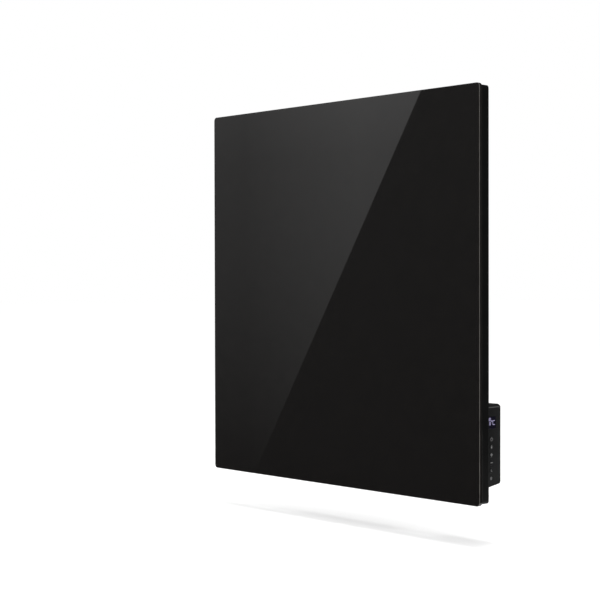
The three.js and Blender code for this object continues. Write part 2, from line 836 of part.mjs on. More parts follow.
// Moulded base: a plate on the case, four screw pillars, four posts and two guides for the control board.
function boxBase() {
  const edge = boxWall + slip;
  const root = baseSheet / 2;
  const guideLeft = boardBack - guideWall;
  const guideRight = boardFace + guideWall;
  const guideRear = faceLine - switchSize / 2 - slip;
  const { top, bottom } = controlBoard;
  const solids = [
    block([-boxWidth + edge, 0, floorZ(baseSheet, edge)], [windowBack - slip, baseSheet, -edge]),
    ...pillarPlaces.map(([x, z]) => rod(pillarRadius, root, boxInner - slip).translate(x, 0, z)),
    ...postPlaces.map(([x, z]) => boardPost().translate(x, 0, z)),
    block([guideLeft, root, top - guideGrip], [guideRight, guideRear, -edge]),
    block([guideLeft, root, bottom - guideWall], [guideRight, guideRear, bottom + guideGrip]),
  ];
  const slot = block(
    [boardBack - slip, baseSheet, bottom - slip],
    [boardFace + slip, boxDepth, top + slip],
  );
  const leadHole = rod(grommetSeat + grommetRim + slip, -over, baseSheet + over, 20);
  const holes = [
    slot,
    ...chamferCuts(edge, 0),
    ...pillarPlaces.map(([x, z]) => screwHole(boxScrew, -over, boxDepth).translate(x, 0, z)),
    leadHole.translate(-boxWidth / 2, 0, -boxHeight / 2),
  ];
  return piece("box_base", cut(join(solids), holes), materials.basePlastic);
}

function boxScrews() {
  const geometry = screw(boxScrew, boxDepth + caseSheet + boxScrew.bite);
  return pillarPlaces.map(([x, z], i) =>
    piece(`box_screw_${i + 1}`, geometry, materials.blackSteel, [x, boxDepth, z]),
  );
}

// The window is a pane in the face with a rim glued behind it, and the display module stands behind both.
function displayParts() {
  const y = displayWidth / 2;
  const z = displayHeight / 2;
  const pane = block([-boxWall - windowSunk, slip - y, slip - z], [-windowSunk, y - slip, z - slip]);
  const rim = block(
    [windowBack, -y - windowRim, -z - windowRim],
    [-boxWall, y + windowRim, z + windowRim],
  );
  const body = block(
    [boardFace, 2 * slip - y, 2 * slip - z],
    [windowBack - slip, y - 2 * slip, z - 2 * slip],
  );
  const place = [0, faceLine, -displayDrop];
  return [
    piece("display_window", join([pane, rim]), materials.darkWindow, place),
    piece("display_module", body, materials.darkMoulding, place),
  ];
}

// A key: a round cap in the side face, a collar behind the wall and a plunger that enters its switch.
function keys() {
  const plungerEnd = switchTop - plungerReach;
  const cap = alongX(turned([
    [0, plungerEnd],
    [plungerRadius, plungerEnd],
    [plungerRadius, collarBack],
    [keyRadius + keyRim, collarBack],
    [keyRadius + keyRim, collarFront],
    [keyRadius, collarFront],
    [keyRadius, keyProud - keyEdge],
    [keyRadius - keyEdge, keyProud],
    [0, keyProud],
  ], 20));
  return keyNames.map((name, i) => piece(name, cap, materials.boxPlastic, [0, faceLine, keyZ[i]]));
}

// Square switches on the control board, each with a well deep enough for its key's travel.
function switches() {
  const half = switchSize / 2;
  const wellFloor = switchHeight - plungerReach - keyTravel - slip;
  const body = block([0, -half, -half], [switchHeight, half, half]);
  const well = alongX(rod(plungerRadius + keyGap, wellFloor, switchHeight + over));
  const geometry = cut(body, [well]);
  return keyNames.map((name, i) =>
    piece(name.replace("key", "switch"), geometry, materials.zincSteel, [boardFace, faceLine, keyZ[i]]),
  );
}

function receiverParts() {
  const rim = receiverRadius + receiverRim;
  const half = receiverSize / 2;
  const lens = alongX(turned([
    [0, windowBack],
    [rim, windowBack],
    [rim, -boxWall],
    [receiverRadius, -boxWall],
    [receiverRadius, -windowSunk],
    [0, -windowSunk],
  ], 20));
  const dome = alongX(turned([
    [0, receiverHeight / 2],
    [half * domeShare, receiverHeight / 2],
    [half * domeShare, receiverHeight],
    [half * domeTop, receiverHeight + receiverDome * domeShare],
    [0, receiverHeight + receiverDome],
  ], 12));
  const eye = join([block([0, -half, -half], [receiverHeight, half, half]), dome]);
  return [
    piece("receiver_window", lens, materials.darkWindow, [0, faceLine, receiverZ]),
    piece("receiver", eye, materials.darkMoulding, [boardFace, faceLine, receiverZ]),
  ];
}

function boards() {
  const { left, right, top, bottom } = powerBoard;
  const power = cut(
    block([left, boardFront, bottom], [right, boardFront + boardSheet, top]),
    postPlaces.map(([x, z]) => rod(postPin + hole, boardFront - over, boxDepth, 12).translate(x, 0, z)),
  );
  const control = block(
    [boardBack, controlBoard.front, controlBoard.bottom],
    [boardFace, controlBoard.rear, controlBoard.top],
  );
  return [
    piece("power_board", power, materials.board),
    piece("control_board", control, materials.board),
  ];
}

// A moulded block with its base at Y = 0.
function moulding([width, height, length]) {
  const edge = 0.8;
  return slab(rectangle(width, length, 2 * edge), 0, height, edge);
}

// A terminal block: screws from the rear, and cord entries at its lower edge.
function terminalBlock() {
  const [width, height, length] = terminalSize;
  const body = block([-width / 2, 0, -length / 2], [width / 2, height, length / 2]);
  const holes = [-terminalPitch, 0, terminalPitch].flatMap((x) => [
    rod(terminalScrew, height / 2 + over, height + over, 10).translate(x, 0, 0),
    block([-terminalScrew, over, -length], [terminalScrew, height / 2, 0]).translate(x, 0, 0),
  ]);
  return cut(body, holes);
}

function fuseBody() {
  const end = fuseLength / 2;
  return alongX(turned([
    [0, -end],
    [fuseCap, -end],
    [fuseCap, -end / 2],
    [fuseTube, -end / 2],
    [fuseTube, end / 2],
    [fuseCap, end / 2],
    [fuseCap, end],
    [0, end],
  ], 14));
}

// Parts that stand on the power board's rear face: relay low, supply high, fuse between them.
function boardParts() {
  const y = boardFront + boardSheet;
  const { left, right, top, bottom } = powerBoard;
  const supplyPlace = [left + 2 * partGap + supplySize[0] / 2, y, top - partGap - supplySize[2] / 2];
  const relayPlace = [left + 2 * partGap + relaySize[0] / 2, y, bottom + 3 * partGap + relaySize[2] / 2];
  const terminalPlace = [-glandLeft, y, bottom + partGap / 2 + terminalSize[2] / 2];
  const fusePlace = [right - 2 * partGap - fuseLength / 2, y + fuseCap + slip, (top + bottom) / 2];
  return [
    piece("supply_module", moulding(supplySize), materials.basePlastic, supplyPlace),
    piece("relay", moulding(relaySize), materials.relayBlue, relayPlace),
    piece("terminal_block", terminalBlock(), materials.terminalGreen, terminalPlace),
    piece("fuse", fuseBody(), materials.ceramic, fusePlace),
  ];
}

// The gland: a threaded body through the boss, a locknut inside the box and a cap that grips the cord.
// It is drawn pointing along +Y from the boss and turned to point straight down.
function gland() {
  const nutTo = bossLow - bossHigh;
  const nutFrom = nutTo - locknutHeight;
  const threadFrom = nutFrom - threadEnd;
  const noseEnd = glandHexHeight + glandNose;
  const capFrom = glandHexHeight + seat;
  const capFloor = noseEnd + seat;
  const capTo = capFloor + capWall;
  const capRadius = glandHex - slip;
  const hexagon = (from, to) => rod(glandHex, from, to, 6);
  const bodySolid = join([
    rod(glandThread, threadFrom, over, 24),
    hexagon(0, glandHexHeight),
    rod(glandNeck, glandHexHeight - over, noseEnd, 24),
  ]);
  const capSolid = turned([
    [0, capFrom],
    [capRadius, capFrom],
    [capRadius, noseEnd - over],
    [glandBore + over, capTo],
    [0, capTo],
  ], 12);
  const capHoles = [
    rod(glandNeck + slip, capFrom - over, capFloor, 24),
    rod(capBore, capFrom, capTo + over, 24),
  ];
  const body = cut(bodySolid, [rod(glandBore, threadFrom - over, noseEnd + over, 24)]);
  const nut = cut(hexagon(nutFrom, nutTo), [rod(glandThread + hole, nutFrom - over, nutTo + over, 24)]);
  const group = new THREE.Group();
  group.position.set(...glandPlace, bossLow);
  group.rotation.x = -Math.PI / 2;
  group.add(
    piece("gland_body", body, materials.boxPlastic),
    piece("gland_cap", cut(capSolid, capHoles), materials.boxPlastic),
    piece("gland_locknut", nut, materials.boxPlastic),
  );
  return group;
}

// ---------------------------------------------------------------------------------------------- assembly

const backScrewPlaces = [
  ...caseScrewPlaces.map(([x, z]) => [sheetScrew, x, z]),
  ...hangerScrewX.map((x) => [sheetScrew, x, hangerZ + footLine]),
  ...spacerScrewX.map((x) => [sheetScrew, x, spacerZ + footLine]),
  ...pillarPlaces.map(([x, z]) => [boxScrew, boxRight + x, boxTop + z]),
];

const controlBox = new THREE.Group();
controlBox.position.set(boxRight, 0, boxTop);
controlBox.add(
  boxShell(),
  boxBase(),
  ...boxScrews(),
  ...displayParts(),
  ...keys(),
  ...switches(),
  ...receiverParts(),
  ...boards(),
  ...boardParts(),
  gland(),
);

// The panel's own origin is the middle of its case's rear face.
const panel = new THREE.Group();
panel.position.set(0, -wallGap, -hangHeight);
panel.add(
  glassPanel(),
  edgeAdhesive(),
  heatingFilm(),
  ...busbars(),
  reflectorSheet(),
  insulationBoard(),
  thermalCutout(),
  bondFrame(),
  rearCase(backScrewPlaces),
  ...caseScrews(),
  ...hanger(),
  ...spacer(),
  ...bumpers(),
  ...leads(),
  wireGrommet(),
  controlBox,
);

const heater = new THREE.Group();
heater.add(wallRail(), panel);

export default heater;
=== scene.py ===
import json
import math

import bmesh
import bpy
from mathutils import Euler, Matrix, Vector

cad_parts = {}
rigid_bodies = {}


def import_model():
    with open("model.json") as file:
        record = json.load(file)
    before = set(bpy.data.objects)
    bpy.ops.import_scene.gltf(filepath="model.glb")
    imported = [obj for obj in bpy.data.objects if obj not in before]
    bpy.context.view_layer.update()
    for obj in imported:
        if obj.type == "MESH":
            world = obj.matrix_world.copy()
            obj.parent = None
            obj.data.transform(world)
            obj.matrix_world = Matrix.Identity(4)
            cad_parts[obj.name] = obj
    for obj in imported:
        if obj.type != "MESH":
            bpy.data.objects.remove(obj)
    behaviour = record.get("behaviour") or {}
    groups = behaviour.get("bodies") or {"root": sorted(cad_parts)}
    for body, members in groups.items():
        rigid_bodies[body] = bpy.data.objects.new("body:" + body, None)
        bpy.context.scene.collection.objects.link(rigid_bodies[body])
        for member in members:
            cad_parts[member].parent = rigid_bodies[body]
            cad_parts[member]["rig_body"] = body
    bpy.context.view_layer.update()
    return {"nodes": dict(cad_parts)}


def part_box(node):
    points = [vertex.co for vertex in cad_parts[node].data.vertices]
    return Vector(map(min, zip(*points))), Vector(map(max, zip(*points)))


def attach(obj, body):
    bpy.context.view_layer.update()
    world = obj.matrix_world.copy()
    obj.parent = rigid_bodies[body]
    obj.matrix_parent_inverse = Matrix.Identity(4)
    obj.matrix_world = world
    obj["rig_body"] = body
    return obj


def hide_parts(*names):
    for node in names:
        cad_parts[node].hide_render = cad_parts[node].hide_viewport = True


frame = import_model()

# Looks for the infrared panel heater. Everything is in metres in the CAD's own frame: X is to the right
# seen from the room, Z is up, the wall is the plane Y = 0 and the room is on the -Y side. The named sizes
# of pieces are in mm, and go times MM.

MM = 0.001
PHOTO = 600  # pixels on each side of the photograph

# ------------------------------------------------------------------------------------------------ camera

CAMERA_AZIMUTH, CAMERA_ELEVATION, CAMERA_ROLL = 48.2, 0.73, -0.12  # degrees
CAMERA_PLACE = Vector((1.669, -1.6211, -0.1304))
SENSOR, LENS = 36.0, 87.74  # mm

camera_data = bpy.data.cameras.new("camera")
camera_data.lens = LENS
camera_data.sensor_width = SENSOR
camera_data.clip_start = 0.01
camera_data.clip_end = 100
camera = bpy.data.objects.new("camera", camera_data)
camera.location = CAMERA_PLACE
level_view = Euler((math.radians(90 - CAMERA_ELEVATION), 0, math.radians(CAMERA_AZIMUTH))).to_matrix()
camera.rotation_euler = (level_view @ Matrix.Rotation(math.radians(CAMERA_ROLL), 3, "Z")).to_euler()
bpy.context.scene.collection.objects.link(camera)
bpy.context.scene.camera = camera


def ray_through(x, y):
    """Direction from the camera through a pixel of the photograph."""
    step = SENSOR / LENS / PHOTO
    local = Vector(((x - PHOTO / 2) * step, (PHOTO / 2 - y) * step, -1))
    return camera.rotation_euler.to_matrix() @ local


# --------------------------------------------------------------------------------------------- materials

# colour, roughness, metallic, grain size and depth in mm, and how far colour and roughness wander
LOOKS = {
    "black_steel": ((0.014, 0.014, 0.015), 0.38, 0.3, 0.5, 0.01, 0.15, 0.2),
    "steel": ((0.56, 0.57, 0.58), 0.33, 1.0, 0.8, 0.004, 0.12, 0.35),
    "silicone": ((0.006, 0.006, 0.006), 0.62, 0.0, 0.4, 0.01, 0.2, 0.15),
    "carbon_film": ((0.012, 0.012, 0.012), 0.45, 0.0, 1.2, 0.01, 0.3, 0.2),
    "copper": ((0.66, 0.31, 0.17), 0.3, 1.0, 0.8, 0.004, 0.15, 0.3),
    "foil": ((0.78, 0.79, 0.8), 0.28, 1.0, 3.0, 0.03, 0.08, 0.3),
    "mineral_wool": ((0.5, 0.45, 0.3), 0.95, 0.0, 1.5, 0.4, 0.35, 0.05),
    "powder_coat": ((0.0035, 0.0035, 0.0035), 0.48, 0.0, 0.55, 0.022, 0.18, 0.16),
    "box_plastic": ((0.0112, 0.0112, 0.0114), 0.46, 0.0, 0.22, 0.012, 0.14, 0.14),
    "key_plastic": ((0.0104, 0.0104, 0.0106), 0.42, 0.0, 0.18, 0.004, 0.12, 0.2),
    "base_plastic": ((0.024, 0.024, 0.026), 0.5, 0.0, 0.3, 0.012, 0.15, 0.15),
    "dark_window": ((0.003, 0.0025, 0.009), 0.08, 0.0, 2.0, 0.0006, 0.1, 0.5),
    "board": ((0.02, 0.14, 0.05), 0.35, 0.0, 1.6, 0.02, 0.3, 0.3),
    "relay_blue": ((0.02, 0.1, 0.4), 0.38, 0.0, 0.25, 0.006, 0.12, 0.2),
    "terminal_green": ((0.04, 0.3, 0.09), 0.42, 0.0, 0.25, 0.008, 0.12, 0.2),
    "ceramic": ((0.72, 0.7, 0.64), 0.25, 0.0, 1.0, 0.008, 0.06, 0.3),
    "led_grey": ((0.05, 0.05, 0.055), 0.4, 0.0, 0.25, 0.008, 0.12, 0.2),
    "lead_red": ((0.3, 0.015, 0.012), 0.45, 0.0, 0.4, 0.006, 0.12, 0.2),
    "lead_blue": ((0.015, 0.05, 0.3), 0.45, 0.0, 0.4, 0.006, 0.12, 0.2),
    "black_glass": ((0.0052, 0.0046, 0.0043), 0.025, 0.0, 90.0, 0.004, 0.12, 0.3),
    # the glass's ground edge, whose light grey on the upright front arrises only is partly a painted
    # highlight
    "ground_edge": ((0.1, 0.094, 0.086), 0.35, 0.0, 0.3, 0.01, 0.25, 0.3),
    "print": ((0.22, 0.22, 0.22), 0.5, 0.0, 0.15, 0.002, 0.1, 0.1),
    "lens": ((0.11, 0.11, 0.112), 0.3, 0.0, 1.0, 0.002, 0.1, 0.3),
}
MOTTLE = 22  # mm, the size of the slow changes of colour and roughness
NOISE_ROUGHNESS = 0.55
UNEVENNESS = 0.15  # of a lit segment's strength
DIFFUSER_GRAIN = 1.5  # mm
RIPPLE_LOW, RIPPLE_HIGH = 0.3, 0.7  # what a noise texture stays between almost everywhere
USUAL_SHINE = 0.5
# Specular levels of the surfaces that are duller than the usual
SHINE = {"powder_coat": 0.15, "box_plastic": 0.17, "key_plastic": 0.17, "base_plastic": 0.3, "silicone": 0.1}
PAINTED_ARRIS_HIGHLIGHT = {"box_plastic": 0.075}  # grey of the painted highlight on the arrises that lean from a side face up to a chamfer
ARRIS_LEAN, ARRIS_LEAN_REACH = 0.48, 0.3  # rise over run of the normal of an arris that gets the painted highlight, and how far it may be off


class Nodes:
    """Adds and links shader nodes in one material or world."""

    def __init__(self, owner):
        owner.use_nodes = True
        self.tree = owner.node_tree
        self.tree.nodes.clear()

    def add(self, kind, inputs, **settings):
        """A node whose inputs are linked to sockets or set to values."""
        node = self.tree.nodes.new(kind)
        for name, value in settings.items():
            setattr(node, name, value)
        for name, value in inputs.items():
            if isinstance(value, bpy.types.NodeSocket):
                self.tree.links.new(value, node.inputs[name])
            else:
                node.inputs[name].default_value = value
        return node

    def noise(self, size, detail=3.0):
        """A noise texture with features of a size in mm."""
        place = self.add("ShaderNodeTexCoord", {}).outputs["Object"]
        inputs = {"Vector": place, "Scale": 1 / (size * MM), "Detail": detail, "Roughness": NOISE_ROUGHNESS}
        return self.add("ShaderNodeTexNoise", inputs).outputs["Fac"]

    def ranged(self, value, low, high, start=RIPPLE_LOW, stop=RIPPLE_HIGH):
        """A value that goes from low to high while another goes from start to stop."""
        inputs = {"Value": value, "From Min": start, "From Max": stop, "To Min": low, "To Max": high}
        return self.add("ShaderNodeMapRange", inputs).outputs["Result"]

    def ramp(self, value, *stops):
        """A colour ramp through (position, colour) pairs."""
        node = self.add("ShaderNodeValToRGB", {"Fac": value})
        elements = node.color_ramp.elements
        while len(elements) < len(stops):
            elements.new(0.5)
        for element, (position, colour) in zip(elements, stops):
            element.position = position
            element.color = (*colour, 1)
        return node.outputs["Color"]

    def math(self, operation, *values):
        inputs = dict(enumerate(values))
        return self.add("ShaderNodeMath", inputs, operation=operation).outputs[0]

    def highlight_arris_mask(self):
        """One on an arris that leans from a side face up to a chamfer, where a highlight is painted, and
        nought elsewhere.
        """
        normal = self.add("ShaderNodeNewGeometry", {}).outputs["True Normal"]
        axes = self.add("ShaderNodeSeparateXYZ", {"Vector": normal}).outputs
        lean = self.math("DIVIDE", axes["Z"], self.math("ABSOLUTE", axes["X"]))
        return self.math("COMPARE", lean, ARRIS_LEAN, ARRIS_LEAN_REACH)

    def surface(self, shader, output="ShaderNodeOutputMaterial"):
        self.add(output, {"Surface": shader})


looks = {}


def look(name):
    """The procedural material for one entry of LOOKS."""
    if name not in looks:
        colour, roughness, metallic, grain, depth, tint, polish = LOOKS[name]
        made = bpy.data.materials.new(name + "_look")
        nodes = Nodes(made)
        broad = nodes.noise(MOTTLE, detail=4.0)
        darker = tuple(c * (1 - tint) for c in colour)
        lighter = tuple(min(1, c * (1 + tint)) for c in colour)
        shade, stops = broad, [(RIPPLE_LOW, darker), (RIPPLE_HIGH, lighter)]
        # Painted highlight: the arris between a side face and its chamfer is coloured a lighter grey
        if name in PAINTED_ARRIS_HIGHLIGHT:
            shade = nodes.math("MAXIMUM", broad, nodes.highlight_arris_mask())
            stops += [(0.95, lighter), (1.0, (PAINTED_ARRIS_HIGHLIGHT[name],) * 3)]
        inputs = {"Height": nodes.noise(grain), "Strength": 1.0, "Distance": depth * MM}
        bump = nodes.add("ShaderNodeBump", inputs)
        shader = nodes.add("ShaderNodeBsdfPrincipled", {
            "Base Color": nodes.ramp(shade, *stops),
            "Roughness": nodes.ranged(broad, roughness * (1 - polish), roughness * (1 + polish)),
            "Metallic": metallic,
            "Specular IOR Level": SHINE.get(name, USUAL_SHINE),
            "Normal": bump.outputs["Normal"],
        })
        nodes.surface(shader.outputs["BSDF"])
        looks[name] = made
    return looks[name]


def lit(name, colour, strength):
    """A lit display segment, slightly uneven as a moulded diffuser is."""
    made = bpy.data.materials.new(name)
    nodes = Nodes(made)
    weakest, strongest = (1 - UNEVENNESS) * strength, (1 + UNEVENNESS) * strength
    shader = nodes.add("ShaderNodeBsdfPrincipled", {
        "Base Color": (0.02, 0.02, 0.02, 1),
        "Roughness": 0.4,
        "Emission Color": (*colour, 1),
        "Emission Strength": nodes.ranged(nodes.noise(DIFFUSER_GRAIN), weakest, strongest),
    })
    nodes.surface(shader.outputs["BSDF"])
    return made


for node in frame["nodes"].values():
    slot = node.material_slots[0]
    slot.material = look(slot.material.name)

# ---------------------------------------------------------------------------------------- mesh and pieces

SMOOTH_BELOW = 35  # degrees between faces that are shaded as one
SAME_PLACE = 0.002  # between points that are joined
FLAT_BELOW = 0.6  # degrees between faces that are joined
ROUNDED_ABOVE = 40  # degrees between faces whose edge is rounded


def piece(name, source, material, body, nodes=(), smooth=SMOOTH_BELOW):
    """A new object from a bmesh, riding on a body and standing for CAD nodes."""
    bmesh.ops.recalc_face_normals(source, faces=source.faces)
    mesh = bpy.data.meshes.new(name)
    source.to_mesh(mesh)
    source.free()
    for one in material if isinstance(material, list) else [material]:
        mesh.materials.append(look(one) if isinstance(one, str) else one)
    mesh.shade_smooth()
    mesh.set_sharp_from_angle(angle=math.radians(smooth))
    made = bpy.data.objects.new(name, mesh)
    bpy.context.scene.collection.objects.link(made)
    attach(made, body)
    if nodes:
        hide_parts(*nodes)
    return made


def loft(loops, bm=None, closed=False):
    """A skin through loops of equally many points, capped at its ends unless it closes on itself."""
    bm = bm or bmesh.new()
    rows = [[bm.verts.new(point) for point in loop] for loop in loops]
    for here, there in zip(rows, rows[1:] + (rows[:1] if closed else [])):
        for i in range(len(here)):
            j = (i + 1) % len(here)
            bm.faces.new((here[i], here[j], there[j], there[i]))
    if not closed:
        bm.faces.new(rows[0])
        bm.faces.new(rows[-1])
    return bm


def lathe(profile, sides=48):
    """A turned solid about the Y axis from (radius, y) pairs that start and end on the axis."""
    bm = bmesh.new()
    rows = []
    for radius, y in profile:
        turn = [2 * math.pi * i / sides for i in range(1 if radius == 0 else sides)]
        rows.append([bm.verts.new((radius * math.cos(a), y, radius * math.sin(a))) for a in turn])
    for here, there in zip(rows, rows[1:]):
        for i in range(sides):
            j = (i + 1) % sides
            corners = here[i % len(here)], here[j % len(here)], there[j % len(there)], there[i % len(there)]
            bm.faces.new(list(dict.fromkeys(corners)))
    return bm


def arc(centre, radius, start, stop, steps):
    """Pairs along an arc, with its angles in degrees."""
    turn = [math.radians(start + (stop - start) * i / steps) for i in range(steps + 1)]
    return [(centre[0] + radius * math.cos(a), centre[1] + radius * math.sin(a)) for a in turn]


def rounded_rectangle(low, high, radius, steps=12):
    """Pairs round a rectangle with quarter-circle corners."""
    (x0, z0), (x1, z1) = low, high
    corners = [
        ((x1 - radius, z1 - radius), 0),
        ((x0 + radius, z1 - radius), 90),
        ((x0 + radius, z0 + radius), 180),
        ((x1 - radius, z0 + radius), 270),
    ]
    return [pair for centre, start in corners for pair in arc(centre, radius, start, start + 90, steps)]


def settle(made):
    """Applies a piece's modifiers to its mesh."""
    graph = bpy.context.evaluated_depsgraph_get()
    mesh = bpy.data.meshes.new_from_object(made.evaluated_get(graph))
    made.modifiers.clear()
    made.data = mesh


def even_normals(made):
    """Shades a piece's broad faces flat up to their rounded edges."""
    made.modifiers.new("normals", "WEIGHTED_NORMAL").keep_sharp = True
    settle(made)


def slot_and_body(node):
    """A CAD node's material slot and the body that it rides on."""
    source = frame["nodes"][node]
    return source.material_slots[0].material.name.removesuffix("_look"), source["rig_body"]


def refined(node, name, edge):
    """A copy of a CAD node with its sharp edges rounded by some mm and its curves shaded smooth."""
    slot, body = slot_and_body(node)
    bm = bmesh.new()
    bm.from_mesh(frame["nodes"][node].data)
    bmesh.ops.remove_doubles(bm, verts=bm.verts, dist=SAME_PLACE * MM)
    bmesh.ops.dissolve_limit(bm, angle_limit=math.radians(FLAT_BELOW), verts=bm.verts, edges=bm.edges)
    made = piece(name, bm, slot, body, [node])
    bevel = made.modifiers.new("edges", "BEVEL")
    bevel.width = edge * MM
    bevel.segments = 2
    bevel.limit_method = "ANGLE"
    bevel.angle_limit = math.radians(ROUNDED_ABOVE)
    even_normals(made)


# ------------------------------------------------------------------------------------------------- glass

GLASS_CORNER = 6
ARRIS = 0.6  # radius of the glass's ground edge
ARRIS_STEPS = 4
GLASS_SMOOTH_BELOW = 60  # degrees
BEAD = 0.75  # radius of the silicone bead between glass and case
BEAD_SIDES = 8
BEAD_CORNER = 5
BEAD_CORNER_STEPS = 6
ROUNDING = 1e-6  # metres that a point may be off by


def arris_profile(low, high):
    """(inset, y) pairs from the middle of one face, round the edge, to the middle of the other."""
    size = ARRIS * MM
    front = [(size - x, low + size - y) for x, y in arc((0, 0), size, 90, 0, ARRIS_STEPS)]
    return front + [(inset, low + high - y) for inset, y in reversed(front)]


def glass_sheet():
    """The back-painted front, with an arris round both faces; the upright front edges are ground matt and
    light grey, partly a painted highlight.
    """
    low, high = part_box("glass_panel")
    loops = []
    for inset, y in arris_profile(low.y, high.y):
        corner_low = (low.x + inset, low.z + inset)
        corner_high = (high.x - inset, high.z - inset)
        outline = rounded_rectangle(corner_low, corner_high, GLASS_CORNER * MM - inset)
        loops.append([(x, y, z) for x, z in outline])
    bm = loft(loops)
    bm.normal_update()
    for face in bm.faces:
        y = face.calc_center_median().y
        upright = abs(face.normal.x) > abs(face.normal.z)
        # Only the upright front arrises get the light grey ground edge, partly a painted highlight; the top
        # and bottom stay black glass
        face.material_index = int(upright and ROUNDING < y - low.y < ARRIS * MM)
    materials = ["black_glass", "ground_edge"]
    made = piece("glass_sheet", bm, materials, "heater", ["glass_panel"], GLASS_SMOOTH_BELOW)
    even_normals(made)


def edge_bead():
    """A bead of silicone that closes the joint between the glass and the case."""
    glass_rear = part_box("glass_panel")[1].y
    low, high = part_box("rear_case")
    y = (glass_rear + low.y) / 2
    loops = []
    for out, back in arc((0, 0), BEAD * MM, 0, 360, BEAD_SIDES)[:-1]:
        spread = out - BEAD * MM / 3
        corner_low = (low.x - spread, low.z - spread)
        corner_high = (high.x + spread, high.z + spread)
        outline = rounded_rectangle(corner_low, corner_high, BEAD_CORNER * MM + spread, BEAD_CORNER_STEPS)
        loops.append([(x, y + back, z) for x, z in outline])
    piece("edge_bead", loft(loops, closed=True), "silicone", "heater")


glass_sheet()
edge_bead()

# -------------------------------------------------------------------------- case, rail, channels, screws

SHEET_EDGE = 0.25

for node, name in {
    "rear_case": "case_pan",
    "wall_rail": "rail_profile",
    "hanger_channel": "hanger_profile",
    "spacer_channel": "spacer_profile",
}.items():
    refined(node, name, SHEET_EDGE)

HEAD_HEIGHTS = {"case_screw": 2.3, "hanger_screw": 2.3, "spacer_screw": 2.3, "box_screw": 1.7}
SHANK_SHARE = 0.52  # of the head's radius, as are the next two
RECESS_REACH, RECESS_HALF = 0.5, 0.13
RECESS_ENDS = ((1.1, 1.3), (0.55, 0.35))  # (spread, share of the head's height) above and at its bottom
RIM_SHARE = 0.3  # of the head's height, below its dome
DOME_TURN, DOME_STEPS = 84, 7  # degrees, short of the middle where a flat is left
SCREW_SIDES = 32


def cross_cutter(radius, height):
    """A tapered cross that sinks into a screw head whose top is at Y = height."""
    reach, half = RECESS_REACH * radius, RECESS_HALF * radius
    cross = [
        (reach, -half), (reach, half), (half, half), (half, reach), (-half, reach), (-half, half),
        (-reach, half), (-reach, -half), (-half, -half), (-half, -reach), (half, -reach), (half, -half),
    ]
    bm = loft([[(x * spread, y * height, z * spread) for x, z in cross] for spread, y in RECESS_ENDS])
    bmesh.ops.recalc_face_normals(bm, faces=bm.faces)
    mesh = bpy.data.meshes.new("cutter")
    bm.to_mesh(mesh)
    bm.free()
    cutter = bpy.data.objects.new("cutter", mesh)
    bpy.context.scene.collection.objects.link(cutter)
    return cutter


def pan_screw(node):
    """A pan-head screw with a cross recess, in a CAD screw's place."""
    low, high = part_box(node)
    radius = (high.x - low.x) / 2
    height = HEAD_HEIGHTS[node.rsplit("_", 1)[0]] * MM
    shank = radius * SHANK_SHARE
    under = low.y - (high.y - height)
    quarter = arc((0, 0), 1, 0, DOME_TURN, DOME_STEPS)
    dome = [(radius * math.sqrt(x), height * (RIM_SHARE + (1 - RIM_SHARE) * y)) for x, y in quarter]
    profile = [(0, under), (shank, under), (shank, 0), (radius, 0), *dome, (0, height)]
    slot, body = slot_and_body(node)
    made = piece(node + "_pan", lathe(profile, SCREW_SIDES), slot, body, [node])
    cutter = cross_cutter(radius, height)
    carve = made.modifiers.new("recess", "BOOLEAN")
    carve.object = cutter
    carve.solver = "EXACT"
    settle(made)
    bpy.data.objects.remove(cutter)
    middle = (low + high) / 2
    made.data.transform(Matrix.Translation((middle.x, high.y - height, middle.z)))
    made.data.set_sharp_from_angle(angle=math.radians(SMOOTH_BELOW))


for node in [name for name in frame["nodes"] if "_screw_" in name]:
    pan_screw(node)

FOOT_HEIGHT, FOOT_EDGE, FOOT_DIMPLE = 3, 1.1, 2.6
FOOT_NECK, FOOT_BUTTON = 3.5, 5
DIMPLE_DEPTH, DIMPLE_SLOPE = 0.5, 0.4
LIP_SHEET = 1.5  # of the spacer that the foot is pushed through


def bumper(side):
    """A rubber foot with a soft edge and a moulded dimple, pushed through the spacer's lip."""
    low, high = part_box("bumper_" + side)
    middle = (low + high) / 2
    radius = (high.x - low.x) / 2
    foot, edge, dimple = FOOT_HEIGHT * MM, FOOT_EDGE * MM, FOOT_DIMPLE * MM
    neck, button = FOOT_NECK * MM, FOOT_BUTTON * MM
    sheet = high.y - foot - LIP_SHEET * MM
    deep = high.y - DIMPLE_DEPTH * MM
    button_edge = arc((button - edge, low.y + edge), edge, 270, 360, 4)
    foot_edge = arc((radius - edge, high.y - edge), edge, 0, 90, 5)
    profile = [(0, low.y), (button - edge, low.y), *button_edge, (button, sheet), (neck, sheet)]
    profile += [(neck, high.y - foot), (radius, high.y - foot), *foot_edge]
    profile += [(dimple + DIMPLE_SLOPE * MM, high.y), (dimple, deep), (0, deep)]
    bm = lathe(profile)
    bm.transform(Matrix.Translation((middle.x, 0, middle.z)))
    piece("foot_" + side, bm, "silicone", "heater", ["bumper_" + side])


bumper("left")
bumper("right")

# ------------------------------------------------------------------------------------------- control box

BOX_EDGE, GLAND_EDGE = 0.15, 0.3

refined("box_shell", "box_cover", BOX_EDGE)
refined("display_window", "display_pane", BOX_EDGE)
for node in ("gland_body", "gland_cap", "gland_locknut"):
    refined(node, node + "_moulding", GLAND_EDGE)

PRINT = 0.03  # how far a printed mark stands proud
INLAY = 0.1  # how deep it goes into what carries it
SHARPEST = 0.4  # keeps a bar's corner from running far out
BOX_WALL = 2.2
KEY_PROUD = 0.4
KEY_EDGE = 0.4
KEY_ROOM = 0.3  # between a key's collar and the wall's inside
COLLAR_REACH, COLLAR_SHEET = 0.6, 0.8
PLUNGER = 1.7


def side_centre(node):
    """The middle of a CAD node's face on the box's side."""
    low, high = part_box(node)
    return Vector((high.x, (low.y + high.y) / 2, (low.z + high.z) / 2))


